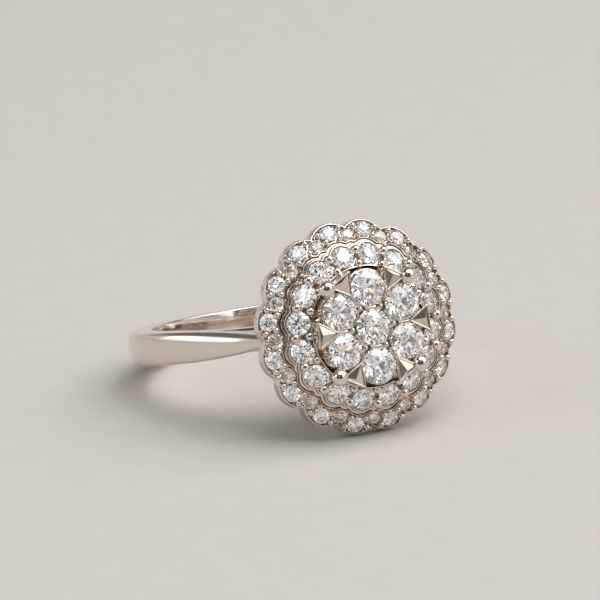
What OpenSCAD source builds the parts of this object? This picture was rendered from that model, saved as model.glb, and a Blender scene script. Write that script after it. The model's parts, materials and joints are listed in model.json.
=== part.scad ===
// A double halo ring: a cluster of seven round stones inside two scalloped rings of stones, on a plain
// band. It lies as it rests by itself, on two scallops of the head and on the band's lower back edge.
// The origin is the middle of the box around it, on the surface that it lies on.

/* [Band] */
// Radius of the finger hole
finger_r = 8.7; // [8.5:0.05:8.9]
// Width of the band, measured along the finger
band_w = 2.15; // [2:0.05:2.4]
// Thickness of the band at the back
band_t = 1.65; // [1.6:0.05:1.8]
// How far the outer face falls off towards its two edges
band_dome = 0.2; // [0.1:0.05:0.25]
// Thickness of the plain rail that carries the band on under the head
rail_t = 1.2; // [1:0.05:1.2]
// Angle from the head at which the two shoulders leave the band
shoulder_from = 80; // [76:1:84]
// Width of a shoulder where it meets the head
shoulder_tip_w = 0.66; // [0.6:0.02:0.8]
// Width of the rail where it passes under the head
rail_head_w = 1.6; // [1.5:0.05:1.8]

/* [Outer halo] */
// Height of the outer halo's stones above the middle of the finger hole
outer_h = 12.87; // [12.5:0.05:13.2]
// Angle by which the outer stones lean outwards
outer_lean = 35; // [33:0.5:36]
// How far the halo's back edge lies below the height of the outer stones
outer_t = 1.02; // [1:0.02:1.1]
// Radius of the circle through the larger outer stones
outer_ring_r = 6.3; // [6.25:0.05:6.35]
// Diameter of a larger outer stone
outer_d = 1.15; // [1.05:0.05:1.15]
// Radius of the circle through the smaller outer stones
between_ring_r = 5.93; // [5.9:0.01:5.95]
// Diameter of a smaller outer stone
between_d = 1; // [0.9:0.05:1]
// Width of the metal edge outside the outer stones
outer_rim = 0.145; // [0.13:0.005:0.16]
// Radius of the halo's sixteen scallops
scallop_r = 1.71; // [1.65:0.01:1.75]

/* [Inner halo] */
// Height of the inner halo's stones above the outer ones
inner_rise = 1.08; // [1.04:0.02:1.12]
// Angle by which the inner stones lean outwards
inner_lean = 28; // [26:0.5:29]
// Radius of the circle through the inner stones
inner_ring_r = 4.66; // [4.64:0.01:4.7]
// Diameter of an inner stone
inner_d = 1.53; // [1.45:0.01:1.55]
// Width of the metal edge outside the inner stones
inner_rim = 0.14; // [0.12:0.01:0.15]

/* [Cluster] */
// Height of the cluster's stones above the outer ones
cluster_rise = 2.28; // [2.2:0.02:2.36]
// Radius of the circle through the six stones round the centre one
cluster_ring_r = 2.49; // [2.45:0.01:2.55]
// Diameter of a cluster stone
cluster_d = 2.3; // [2.2:0.05:2.3]

/* [Claws and beads] */
// Diameter of the four large ball claws
ball_d = 1.08; // [1:0.02:1.1]
// Radius of the circle through the ball claws
ball_ring_r = 3.99; // [3.95:0.01:4.03]
// Radius at which a V-shaped claw has its inner tip
vee_tip_r = 2.4; // [2.35:0.05:2.5]
// Radius at which a V-shaped claw has its two outer ends
vee_end_r = 3.85; // [3.8:0.05:3.9]
// Width across the two outer ends of a V-shaped claw
vee_w = 1.8; // [1.7:0.05:1.9]
// Diameter of the inner halo's outer beads
bead_out_d = 0.63; // [0.6:0.01:0.65]
// Diameter of the inner halo's inner beads
bead_in_d = 0.54; // [0.5:0.01:0.55]
// Diameter of the outer halo's small beads
bead_small_d = 0.38; // [0.36:0.01:0.4]

/* [Hidden] */
// Stones, with their parts as shares of the diameter unless said otherwise
TABLE = 0.56;              // width of the table
CROWN = 0.15;              // height of the crown
GIRDLE = 0.025;            // height of the girdle
PAVILION = 0.43;           // depth below the girdle
STAR_R = 0.79;             // radius of the star facets' outer points, as a share of the radius
LOWER_R = 0.24;            // radius of the lower facets' inner points, as a share of the radius
SEAT_GAP = 0.02;           // clear space between a stone and the metal round it
SEAT_HOLE = 0.18;          // radius of the hole behind a stone
SEAT_TOP = 0.3;            // how far a seat stays open above the stone's table
FACET = 22.5;              // angle between two corners of a girdle
LIP = 0.05;                // how far the metal stands above the stones' girdles
STEP = 22.5;               // angle from one halo stone to the next
HALF = STEP / 2;

// Each stone is turned about its own axis by its number times one of these angles.
cluster_turn = 17;
inner_turn = 13;
outer_turn = 11;
between_turn = 7;
metal = [0.86, 0.84, 0.81];
glass = [0.93, 0.95, 0.98];

// Heights in the head, from the middle of the finger hole along the head's axis
outer_back = outer_h - outer_t;
between_h = outer_h + 0.16;
inner_h = outer_h + inner_rise;
cluster_h = outer_h + cluster_rise;
groove_floor = outer_h - 0.12;
moat_floor = inner_h - 0.6;
cup_top = cluster_h - 1.25;
back_h = inner_h - 1.1;    // the flat part of the head's hollow back
stem_foot = inner_h - 0.5;
ball_h = cluster_h + 0.06;
vee_h = cluster_h + 0.26;
bead_out_h = inner_h + 0.08;
bead_in_h = inner_h + 0.3;
bead_small_rise = 0.1;     // above the plane of the stone beside it

// Radii in the head
halo_gap = 0.2;            // width of the groove between the two halos
back_slope = 24;           // slope of the head's hollow back
moat_r = 3.86;             // inner edge of the inner halo, across a groove from the cluster
cup_r = 3.3;               // hollow in the head's back
bead_out_ring_r = 4.95;
bead_in_ring_r = 4.07;
bead_small_off = 0.36;     // distance of a small bead from the line between two outer stones
stem_r = 0.2;              // stems of the beads and ball claws
LEAN_IN = 0.1;             // how far the inner stones' scallops lie inside the stones' own circle
BEAD_WALL = 0.03;          // metal edge outside an outer bead of the inner halo
CLUSTER_WALL = 0.08;       // metal edge outside the cluster's stones

LAP = 0.2;                 // how far one soldered shape reaches into the next
CLEAR = 1;                 // how far a cutting shape reaches past the metal

// Band
band_r = finger_r + band_t;
edge_r = band_r - band_dome;
edge_cut = 0.18;           // bevel along the band's edges
post_r = 0.42;
post_foot = [0.55, 2.6, finger_r + 0.4];
post_top = [2.75, 2.85, back_h + 0.3];

// A shoulder's outer face is an arc that leaves the band's circle smoothly and ends at the head.
shoulder_t = 1.1;
tip_x = outer_back + LAP;
tip_y = 6.2;
lead = [cos(shoulder_from), sin(shoulder_from)];
arc_r = (pow(tip_x, 2) + pow(tip_y, 2) - 2 * band_r * (tip_x * lead.x + tip_y * lead.y) + pow(band_r, 2))
    / (2 * (band_r - tip_x * lead.x - tip_y * lead.y));
arc_c = -(arc_r - band_r) * lead;
shoulder_end = groove_floor - 0.15;
TIP_EXTRA = 3;             // degrees by which a shoulder's arc runs on into the head
TAPER = 3.2;               // power of the curve by which a shoulder narrows
TAPER_STEPS = 12;          // straight pieces of that curve, counted from the finger's axis to the tip
NARROW_FROM = 2;           // place along X at which the rail and the shoulders begin to narrow
NARROW_OVER = 0.01;        // keeps the cutting planes clear of the band's own sides there
RAIL_NARROW = 9;           // place along X at which the rail has its smaller width

// V-shaped claws
vee_edge = 0.15;           // width of the raised edge round a claw's facets
vee_pocket = 0.25;         // depth of the pocket that the facets stand in
vee_facet_low = 0.19;      // depth of the facets' outer edges
vee_facet_root = 0.35;     // depth to which the facets' body reaches
vee_facet_lap = 0.06;      // how far the facets reach under the raised edge
vee_peak = 0.1;            // height of the facets' peak above the raised edge
vee_peak_in = 0.5;         // distance of the peak from the claw's outer side
vee_corners = [[vee_tip_r, 0], [vee_end_r, -vee_w / 2], [vee_end_r, vee_w / 2]];
vee_len = vee_end_r - vee_tip_r;
vee_inradius = vee_len * vee_w / (2 * sqrt(pow(vee_len, 2) + pow(vee_w / 2, 2)) + vee_w);
vee_centre = [vee_end_r - vee_inradius, 0];

// Resting pose: the lowest points are two scallops at the head's back and the band's lower back edge.
head_r = outer_ring_r + (outer_d / 2 + outer_rim) * cos(outer_lean);
scallop_ring_r = head_r - scallop_r;
scallop_low = scallop_ring_r * cos(HALF) + scallop_r;
foot_r = edge_r - edge_cut;
rest_tilt = atan((scallop_low - band_w / 2) / (outer_back + foot_r));
lift = foot_r * sin(rest_tilt) + band_w / 2 * cos(rest_tilt);
front_x = ball_h * cos(rest_tilt) + ball_ring_r * cos(45) * sin(rest_tilt) + ball_d / 2;
back_x = -max([for (p = band_face(band_r)) p.x * cos(rest_tilt) + p.y * sin(rest_tilt)]);
mid_x = (front_x + back_x) / 2;

$fn = 96;

// Frames
module resting() {
    translate([-mid_x, 0, lift]) rotate([0, -rest_tilt, 0]) children();
}

// The head's own axis is drawn as Z here, and lies along the ring's X.
module head() {
    resting() rotate([0, 90, 0]) children();
}

module around(angle, r, h) {
    rotate(angle) translate([r, 0, h]) children();
}

module slab(from, to) {
    translate([0, 0, from]) linear_extrude(height = to - from) children();
}

// Round brilliant with its girdle's top at height 0. It has a table, eight star, eight kite and sixteen
// upper facets, and eight main and sixteen lower facets below.
function polar(r, a, z) = [r * cos(a), r * sin(a), z];

module brilliant(d) {
    r = d / 2;
    table_z = CROWN * d;
    star_z = table_z * (1 - (STAR_R * cos(FACET) - TABLE) / (1 - TABLE));
    low_z = -GIRDLE * d;
    culet_z = low_z - PAVILION * d;
    lower_z = culet_z + (low_z - culet_z) * LOWER_R * cos(FACET);
    points = concat(
        [for (i = [0:7]) polar(TABLE * r, 2 * FACET * i, table_z)],
        [for (i = [0:7]) polar(STAR_R * r, FACET * (2 * i + 1), star_z)],
        [for (i = [0:15]) polar(r, FACET * i, 0)],
        [for (i = [0:15]) polar(r, FACET * i, low_z)],
        [for (i = [0:7]) polar(LOWER_R * r, FACET * (2 * i + 1), lower_z)],
        [[0, 0, culet_z]]);
    star = 8;
    top = 16;
    low = 32;
    lower = 48;
    culet = 56;
    faces = concat(
        [[for (i = [7:-1:0]) i]],
        [for (i = [0:7]) [i, (i + 1) % 8, star + i]],
        [for (i = [0:7]) [i, star + i, top + 2 * i, star + (i + 7) % 8]],
        [for (i = [0:7]) [star + i, top + 2 * i + 1, top + 2 * i]],
        [for (i = [0:7]) [star + i, top + (2 * i + 2) % 16, top + 2 * i + 1]],
        [for (i = [0:15]) [top + i, top + (i + 1) % 16, low + (i + 1) % 16, low + i]],
        [for (i = [0:7]) [low + 2 * i, low + 2 * i + 1, lower + i]],
        [for (i = [0:7]) [low + 2 * i + 1, low + (2 * i + 2) % 16, lower + i]],
        [for (i = [0:7]) [low + 2 * i, lower + i, culet, lower + (i + 7) % 8]]);
    polyhedron(points, faces);
}

// The space that a stone takes in the metal, with a small gap all round and a hole behind its point.
module seat(d, depth) {
    r = d / 2 + SEAT_GAP;
    top = CROWN * d + SEAT_TOP;
    low_z = -GIRDLE * d - SEAT_GAP;
    hole_r = SEAT_HOLE * d;
    hole_z = low_z - (r - hole_r) * 2 * PAVILION;
    rotate_extrude()
        polygon([
            [0, top],
            [TABLE * d / 2, top],
            [TABLE * d / 2, CROWN * d + SEAT_GAP],
            [r, SEAT_GAP],
            [r, low_z],
            [hole_r, hole_z],
            [hole_r, -depth],
            [0, -depth]]);
}

// A round bar from one point to another.
module bar(from, to, r) {
    d = to - from;
    translate(from) rotate([0, acos(d.z / norm(d)), atan2(d.y, d.x)]) cylinder(h = norm(d), r = r);
}

// The band's domed outer face, as [distance from the finger's axis, place along the finger].
function band_face(outer) =
    [for (t = [-1:1/3:1]) [outer - band_dome * pow(t, 2), (band_w / 2 - edge_cut) * t]];

function band_section(inner, outer) = concat(
    [[inner, -band_w / 2], [outer - band_dome - edge_cut, -band_w / 2]],
    band_face(outer),
    [[outer - band_dome - edge_cut, band_w / 2], [inner, band_w / 2]]);

module band_back() {
    rotate(shoulder_from) rotate_extrude(angle = 360 - 2 * shoulder_from)
        polygon(band_section(finger_r - LAP, band_r));
}

// Narrows a shape towards the head, from NARROW_FROM on. Each point is [x, half of the width there].
module narrowing(points) {
    edge = concat(
        [[-2 * band_r, band_w], [NARROW_FROM, band_w], [NARROW_FROM, band_w / 2 + NARROW_OVER]],
        points);
    last = len(edge) - 1;
    intersection() {
        children();
        rotate([90, 0, 0]) linear_extrude(height = 3 * band_r, center = true)
            polygon(concat(edge, [for (i = [last:-1:0]) [edge[i].x, -edge[i].y]]));
    }
}

module rail() {
    narrowing([[RAIL_NARROW, rail_head_w / 2], [band_r, rail_head_w / 2]])
        rotate_extrude() translate([finger_r - LAP, -band_w / 2]) square([rail_t + LAP, band_w]);
}

// A shoulder narrows from the band's width to its tip, slowly at first.
function half_width(x) = band_w / 2 - (band_w - shoulder_tip_w) / 2 * pow(x / tip_x, TAPER);

module shoulder() {
    tip = [tip_x, tip_y] - arc_c;
    tip_angle = atan2(tip.y, tip.x) - TIP_EXTRA;
    places = [for (i = [TAPER_STEPS / 3:TAPER_STEPS]) tip_x * i / TAPER_STEPS];
    narrowing(concat([for (x = places) [x, half_width(x)]], [[shoulder_end, shoulder_tip_w / 2]]))
        translate(arc_c) rotate(tip_angle) rotate_extrude(angle = shoulder_from - tip_angle)
            polygon(band_section(arc_r - shoulder_t, arc_r));
}

// Outlines of the two halos and the cluster, seen along the head's axis
module outer_outline() {
    circle(r = scallop_ring_r);
    for (i = [0:15]) rotate(HALF + STEP * i) translate([scallop_ring_r, 0]) circle(r = scallop_r);
}

// The inner stones lean, so their outlines are moved inwards a little.
module inner_outline(grow) {
    circle(r = inner_ring_r);
    for (i = [0:15]) {
        rotate(HALF + STEP * i) translate([inner_ring_r - LEAN_IN, 0])
            circle(r = inner_d / 2 + inner_rim + grow);
        rotate(STEP * i) translate([bead_out_ring_r, 0])
            circle(r = bead_out_d / 2 + BEAD_WALL + grow);
    }
}

module cluster_outline() {
    circle(r = cluster_ring_r);
    for (i = [0:5])
        rotate(60 * i) translate([cluster_ring_r, 0]) circle(r = cluster_d / 2 + CLUSTER_WALL);
}

// Place of a small bead beside the gap between a larger outer stone, which lies on the X axis here, and
// the next smaller one: side is 1 or -1 for the two neighbours, out is 1 for the outer bead and -1 for
// the inner one. The place is measured in the leaning halo, as if it were laid flat.
function bead_spot(side, out) =
    let (
        large = [outer_ring_r, 0],
        small = between_ring_r * [cos(HALF), side * sin(HALF)],
        along = (small - large) / norm(small - large),
        middle = large + along * (outer_d / 2 + norm(small - large) - between_d / 2) / 2,
        across = side * [along.y, -along.x])
    middle + out * bead_small_off * across;

// A ring whose top leans outwards: it passes through a height at a radius and falls off at an angle.
module leaning_ring(r, h, lean, inside, outside, low) {
    rotate_extrude() polygon([
        [inside, low],
        [outside, low],
        [outside, h - (outside - r) * tan(lean)],
        [inside, h + (r - inside) * tan(lean)]]);
}

// Tiers of the head, with a groove between the two halos and another between the inner halo and the
// cluster. The back is hollow.
module tiers() {
    inner_low = groove_floor - LAP;
    difference() {
        union() {
            difference() {
                intersection() {
                    leaning_ring(outer_ring_r, outer_h + LIP, outer_lean, cup_r, head_r + CLEAR, outer_back);
                    slab(outer_back, cluster_h) outer_outline();
                }
                slab(groove_floor, cluster_h + CLEAR) inner_outline(halo_gap);
            }
            intersection() {
                leaning_ring(inner_ring_r, inner_h + LIP, inner_lean, moat_r, outer_ring_r, inner_low);
                slab(inner_low, cluster_h) inner_outline(0);
            }
            slab(inner_low, moat_floor) circle(r = moat_r + LAP / 2);
            slab(moat_floor - LAP, cluster_h + LIP) cluster_outline();
        }
        rotate_extrude() polygon([
            [0, outer_back - CLEAR],
            [head_r + CLEAR, outer_back - CLEAR],
            [head_r, outer_back],
            [head_r - (back_h - outer_back) / tan(back_slope), back_h],
            [0, back_h]]);
    }
}

module posts() {
    for (sx = [-1, 1], sy = [-1, 1]) {
        foot = [sx * post_foot.x, sy * post_foot.y, post_foot.z];
        top = [sx * post_top.x, sy * post_top.y, post_top.z];
        bar(foot, top, post_r);
    }
}

// Claws and beads
module vee_outline(inset) {
    translate(vee_centre) scale(1 - inset / vee_inradius) polygon([for (p = vee_corners) p - vee_centre]);
}

// The facets inside the raised edge: three faces that meet in a point near the claw's outer side.
module vee_facets() {
    k = 1 - (vee_edge - vee_facet_lap) / vee_inradius;
    corners = [for (p = vee_corners) vee_centre + k * (p - vee_centre)];
    polyhedron(
        concat(
            [for (c = corners) [c.x, c.y, vee_h - vee_facet_root]],
            [for (c = corners) [c.x, c.y, vee_h - vee_facet_low]],
            [[vee_end_r - vee_peak_in, 0, vee_h + vee_peak]]),
        [[0, 1, 2], [0, 3, 4, 1], [1, 4, 5, 2], [2, 5, 3, 0], [3, 6, 4], [4, 6, 5], [5, 6, 3]]);
}

module vee_claw() {
    difference() {
        slab(moat_floor, vee_h) vee_outline(0);
        slab(vee_h - vee_pocket, vee_h + CLEAR) vee_outline(vee_edge);
    }
    vee_facets();
}

module stem(top) {
    translate([0, 0, stem_foot]) cylinder(h = top - stem_foot, r = stem_r);
}

module claws() {
    for (i = [0:5]) rotate(30 + 60 * i) vee_claw();
    for (a = [45:90:315]) {
        around(a, ball_ring_r, ball_h) sphere(d = ball_d);
        around(a, ball_ring_r, 0) stem(ball_h);
    }
}

module beads() {
    for (i = [0:15]) {
        around(STEP * i, bead_out_ring_r, bead_out_h) sphere(d = bead_out_d);
        if (i % 4 != 2) {
            around(STEP * i, bead_in_ring_r, bead_in_h) sphere(d = bead_in_d);
            around(STEP * i, bead_in_ring_r, 0) stem(bead_in_h);
        }
        for (s = [-1, 1], out = [-1, 1]) {
            spot = bead_spot(s, out);
            place = [norm(spot) - outer_ring_r, bead_small_rise];
            around(HALF + STEP * i + atan2(spot.y, spot.x),
                outer_ring_r + place.x * cos(outer_lean) + place.y * sin(outer_lean),
                outer_h - place.x * sin(outer_lean) + place.y * cos(outer_lean))
                sphere(d = bead_small_d);
        }
    }
}

module leaning(angle, r, h, lean) {
    around(angle, r, h) rotate([0, lean, 0]) children();
}

module seats() {
    for (i = [0:15]) {
        leaning(HALF + STEP * i, outer_ring_r, outer_h, outer_lean) seat(outer_d, outer_t + LAP);
        leaning(STEP * i, between_ring_r, between_h, outer_lean) seat(between_d, outer_t + LAP);
        leaning(HALF + STEP * i, inner_ring_r, inner_h, inner_lean)
            seat(inner_d, (inner_h - back_h) / cos(inner_lean) + LAP);
    }
    around(0, 0, cluster_h) seat(cluster_d, cluster_h - cup_top + LAP);
    for (i = [0:5]) around(60 * i, cluster_ring_r, cluster_h) seat(cluster_d, cluster_h - cup_top + LAP);
}

module ring_setting() {
    color(metal)
    resting() difference() {
        union() {
            band_back();
            rail();
            shoulder();
            mirror([0, 1, 0]) shoulder();
            rotate([0, 90, 0]) {
                tiers();
                posts();
                claws();
                beads();
            }
        }
        cylinder(h = 2 * band_w, r = finger_r, center = true);
        rotate([0, 90, 0]) {
            seats();
            slab(back_h - CLEAR, cup_top) circle(r = cup_r);
        }
    }
}

module cluster_stone(i) {
    color(glass)
    head() around(60 * i, i == 0 ? 0 : cluster_ring_r, cluster_h) rotate(cluster_turn * i)
        brilliant(cluster_d);
}

module inner_stone(i) {
    color(glass)
    head() leaning(HALF + STEP * i, inner_ring_r, inner_h, inner_lean) rotate(inner_turn * i)
        brilliant(inner_d);
}

module outer_halo_stones() {
    color(glass)
    head() for (i = [0:15]) {
        leaning(HALF + STEP * i, outer_ring_r, outer_h, outer_lean) rotate(outer_turn * i) brilliant(outer_d);
        leaning(STEP * i, between_ring_r, between_h, outer_lean) rotate(between_turn * i)
            brilliant(between_d);
    }
}

ring_setting();
outer_halo_stones();
for (i = [1:7]) cluster_stone(i - 1);
for (i = [1:16]) inner_stone(i);
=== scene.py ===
import json
import math

import bmesh
import bpy
import numpy as np
from mathutils import Matrix, Vector, geometry

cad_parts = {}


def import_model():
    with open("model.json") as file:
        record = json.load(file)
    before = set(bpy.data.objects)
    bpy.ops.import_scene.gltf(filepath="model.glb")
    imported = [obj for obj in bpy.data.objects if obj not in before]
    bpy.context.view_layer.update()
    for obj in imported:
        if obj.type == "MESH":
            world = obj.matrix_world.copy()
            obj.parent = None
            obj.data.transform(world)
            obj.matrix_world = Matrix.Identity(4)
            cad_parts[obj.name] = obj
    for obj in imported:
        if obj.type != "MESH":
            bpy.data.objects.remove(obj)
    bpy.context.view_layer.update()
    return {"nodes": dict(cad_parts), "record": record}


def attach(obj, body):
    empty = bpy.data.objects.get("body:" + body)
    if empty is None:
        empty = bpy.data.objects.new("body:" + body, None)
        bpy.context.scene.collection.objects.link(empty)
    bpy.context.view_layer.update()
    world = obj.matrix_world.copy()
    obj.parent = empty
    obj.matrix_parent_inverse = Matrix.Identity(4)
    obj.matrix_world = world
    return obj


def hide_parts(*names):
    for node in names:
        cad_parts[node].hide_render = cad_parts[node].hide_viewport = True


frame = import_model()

MM = 0.001
TAU = 2 * math.pi

# Ring frame: the finger's axis is Z and the head lies along X. Head frame: the head's axis is Z. Both stand
# at the middle of the finger hole. Forms are drawn in millimetres in one of them, and make() puts them in
# place.
hole = next(m for m in frame["record"]["mounts"] if m["name"] == "finger_hole")
FINGER_R = hole["dims"]["r_mm"]
AXIS = Vector(hole["axis"]).normalized()
RING = Matrix.Translation(hole["pos_m"]) @ Matrix(
    (
        (AXIS.z, 0, AXIS.x, 0),
        (0, 1, 0, 0),
        (-AXIS.x, 0, AXIS.z, 0),
        (0, 0, 0, 1),
    )
)
HEAD = RING @ Matrix(((0, 0, 1, 0), (0, 1, 0, 0), (-1, 0, 0, 0), (0, 0, 0, 1)))

# Sizes in millimetres and angles in degrees, the same as the solid parts have. A name ends in _R for a
# radius, _D for a diameter, _W for a width, _T for a thickness, _L for a length and _H for a height over the
# middle of the finger hole.

# Band, and the rail that goes on from it under the head
BAND_W = 2.15
BAND_R = FINGER_R + 1.65
BAND_DOME = 0.2
RAIL_R = FINGER_R + 1.2
RAIL_HEAD_W = 1.6
NARROW_FROM = 2
RAIL_NARROW = 9

# Rounds of stones
ROUND = 16
STEP = 360 / ROUND
HALF = STEP / 2
GIRDLE = 0.025
PAVILION = 0.43
SEAT_GAP = 0.02
SEAT_HOLE = 0.18
LIP = 0.05

# Outer halo
OUTER_H = 12.87
OUTER_LEAN = 35
OUTER_BACK = OUTER_H - 1.02
OUTER_RING_R = 6.3
OUTER_D = 1.15
OUTER_RIM = 0.145
BETWEEN_H = OUTER_H + 0.16
BETWEEN_RING_R = 5.93
BETWEEN_D = 1.0
SCALLOP_R = 1.71
SCALLOP_RING_R = OUTER_RING_R + (OUTER_D / 2 + OUTER_RIM) * math.cos(math.radians(OUTER_LEAN)) - SCALLOP_R
BEAD_SMALL_D = 0.38
BEAD_SMALL_OFF = 0.36
BEAD_SMALL_RISE = 0.1
GROOVE_FLOOR = OUTER_H - 0.12
HALO_GAP = 0.2

# Inner halo
INNER_H = OUTER_H + 1.08
INNER_LEAN = 28
INNER_RING_R = 4.66
INNER_D = 1.53
INNER_RIM = 0.14
LEAN_IN = 0.1
BEAD_OUT_D = 0.63
BEAD_OUT_RING_R = 4.95
BEAD_OUT_H = INNER_H + 0.08
BEAD_IN_D = 0.54
BEAD_IN_RING_R = 4.07
BEAD_IN_H = INNER_H + 0.3
MOAT_R = 3.86
MOAT_FLOOR = INNER_H - 0.6

# Cluster and its claws
CLUSTER_ROUND = 6
CLUSTER_STEP = 360 / CLUSTER_ROUND
CLUSTER_H = OUTER_H + 2.28
CLUSTER_RING_R = 2.49
CLUSTER_D = 2.3
CLUSTER_RIM = 0.08
CUP_R = 3.3
CUP_TOP = CLUSTER_H - 1.25
BALL_D = 1.08
BALL_RING_R = 3.99
BALL_H = CLUSTER_H + 0.06
VEE_TIP_R = 2.4
VEE_END_R = 3.85
VEE_W = 1.8
VEE_H = CLUSTER_H + 0.26

# Head's back, posts and shoulders
BACK_H = INNER_H - 1.1
BACK_SLOPE = 24
POST_R = 0.42
POST_FOOT = (0.55, 2.6, FINGER_R + 0.4)
POST_TOP = (2.75, 2.85, BACK_H + 0.3)
SHOULDER_FROM = 80
SHOULDER_T = 1.1
SHOULDER_TIP = (OUTER_BACK + 0.2, 6.2)
SHOULDER_TIP_W = 0.66
TAPER = 3.2

# From here on the sizes are of finer details. The solid parts don't have most of them.

# How far a hidden wall or stem runs on into the metal beside it
OVERLAP = 0.1

# Band: rounding of its edges, and the angles from the head over which the rail grows into the band and
# comes out from under the shoulder
EDGE_ROUND = 0.3
INNER_EDGE_ROUND = 0.09
RAIL_EDGE_ROUND = 0.12
RAIL_DOME = 0.03
RAIL_TO = 73
RAIL_BLEND = 9
UNDER_SHOULDER = 0.022
UNDER_TO = 74
UNDER_BLEND = 16

# Shoulders: they grow out of the band, a hair wider than it, and stop short of the outer halo's wall
SHOULDER_BLEND = 3
SHOULDER_SINK = 0.05
SHOULDER_PROUD = 0.003
SHOULDER_SHORT = 2.0
SHOULDER_EDGE_SHARE = 0.7

# Halos: the floor's depth under the stones' slope, the thin scalloped rims, and the step between the halos
CHANNEL = 0.24
RIM_W = 0.09
RIM_BEVEL = 0.03
BEAD_RIM = 0.03
OUTER_FLOOR_T = 0.2
INNER_FLOOR_T = 0.3
STONE_HOLD = 0.06
LEDGE_W = 0.13
LEDGE_INTO = 0.02
LEDGE_DROP = 0.2
GROOVE_FROM_R = 5.3
GROOVE_TO_R = 5.95
BACK_INSET = 0.02
SEAT_WALL = 0.12
MOAT_FLOOR_R = MOAT_R + 0.02

# Lips round the two halos' openings, by (scale of the opening, rise over the stones' slope)
OUTER_LIP = (
    (1.0, LIP - 0.16),
    (1.002, LIP - 0.13),
    (1.005, LIP - 0.11),
    (1.009, LIP - 0.11),
    (1.011, -CHANNEL),
)
INNER_LIP = ((1.0, LIP - 0.04), (1.004, LIP - 0.01), (1.012, LIP), (1.02, LIP - 0.01), (1.024, -CHANNEL))

# Collars: cups under the stones, a little smaller than the stone and round at the top
COLLAR_INSET = 0.03
COLLAR_W = 0.05
COLLAR_CROWN_AT = 0.02
COLLAR_CROWN = 0.015
COLLAR_EDGE_DROP = 0.01
COLLAR_SHORT = 0.05
DEPTH_STEP = 0.01

# Grains beside each large outer stone, by (degrees from its middle, distance outwards from its ring), and
# the stems under beads and grains, as a share of their diameter
GRAINS = ((5.6, 0.5), (8.0, 0.34))
GRAIN_D = 0.22
GRAIN_RISE = -0.03
STEM_SHARE = 0.36

# Cluster: its floor, its wall by (inset, rise over the stones' girdle), and the ridges and prongs between
# the stones
CLUSTER_FLOOR = CLUSTER_H - 0.34
CLUSTER_HOLD = 0.03
CLUSTER_WALL = ((0, -0.3), (0, -0.12), (0.01, -0.07), (0.04, -0.05), (0.07, -0.07))
CLUSTER_WALL_T = 0.08
CLUSTER_FLOOR_INSET = 0.05
SKIRT_R = MOAT_R - 0.01
SKIRT_H = INNER_H + 0.15
RIDGE_L = 0.72
RIDGE_HALF_W = 0.055
RIDGE_FLARE = 0.06
RIDGE_RISE = 0.03
RIDGE_SAG = 0.02
RIDGE_FOOT = CLUSTER_H - 0.4
PRONG_D = 0.3
PRONG_H = CLUSTER_H - 0.04
PRONG_STEM = 0.1

# V-shaped claws: a thin round edge, and inside it a low three-sided peak. The radius of a claw's corners
# shrinks by VEE_CORNER_LESS over the edge.
VEE_EDGE_W = 0.1
VEE_EDGE_TOP = VEE_H - 0.04
VEE_EDGE_DROP = 0.16
VEE_EDGE_BATTER = 0.01
VEE_CORNER = 0.05
VEE_CORNER_LESS = 0.02
VEE_INNER_CORNER = 0.02
FACET_INSET = 0.12
FACET_FOOT = VEE_H - 0.35
FACET_RIM_H = VEE_H - 0.12
FACET_PEAK = (VEE_END_R - 0.26, 0, VEE_H - 0.065)

# Radius and foot of the stems under the ball claws and the inner beads
BALL_STEM = 0.22
BALL_FOOT = INNER_H - 0.5
BEAD_OUT_STEM = 0.24
BEAD_OUT_FOOT = INNER_H - 0.6
BEAD_IN_STEM = 0.2
BEAD_IN_FOOT = INNER_H - 0.5

# Posts: the share by which their waist is thinner
POST_WAIST = 0.12

# Numbers of points round a curve, and of rows along a form
FINE = 1440
SMOOTH = 192
BALL_POINTS = 64
MEDIUM = 48
BEAD_POINTS = 40
COARSE = 32
SMALL_BEAD_POINTS = 28
PRONG_POINTS = 24
GRAIN_POINTS = 20
FACE_POINTS = 13
EDGE_POINTS = 6
CORNER_POINTS = 5
SHOULDER_ROWS = 80
POST_ROWS = 9

# Turn between two rows of the band, and the angles at which a wall's round top has its rows
BAND_TURN = 1.0
TOP_ANGLES = range(30, 180, 30)

# Points of the grid that a flat or sloping surface is made from: the radius where they begin, and the steps
# between them outwards and round
GRID_FROM_R = 2.0
GRID_STEP = 0.22
GRID_TURN = 2.5

# Points closer together than this are joined, and edges shorter than this go, in metres
JOIN_WITHIN = 2e-7
SHORTEST_EDGE = 1e-8

# A radius under this is on the axis, and triangles keep to their points within this, in millimetres
ON_AXIS = 1e-9
TRIANGLE_GAP = 1e-6

# Edges that turn by more than this many degrees are sharp
BAND_SHARP = 40
HEAD_SHARP = 32
FACET_SHARP = 5

# Camera, fitted to the stones and the band in the photograph. Its distances are in millimetres, and the
# nearest and furthest that it sees are in metres.
CAM_ELEVATION = 16.888
CAM_AROUND = 23.048
CAM_ROLL = -2.643
CAM_DISTANCE = 315.0
CAM_SIDE = -3.799
CAM_UP = 1.686
FOCAL_PX = 4936
FRAME_PX = 600
SENSOR_W = 36
NEAREST = 0.01
FURTHEST = 50

# Surroundings: a pale horizon, a dim ceiling, and a dark part behind the camera that the metal mirrors
HORIZON_COLOUR = (0.635, 0.6, 0.561, 1)
HORIZON_TOP = 0.16
CEILING_COLOUR = (0.17, 0.158, 0.147, 1)
CEILING_FROM = 0.36
FRONT_COLOUR = (0.085, 0.075, 0.066, 1)
FRONT_ELEVATION = 27
FRONT_SPREAD = (0.70, 0.84)
FLOOR_REACH = 3.0

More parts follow.
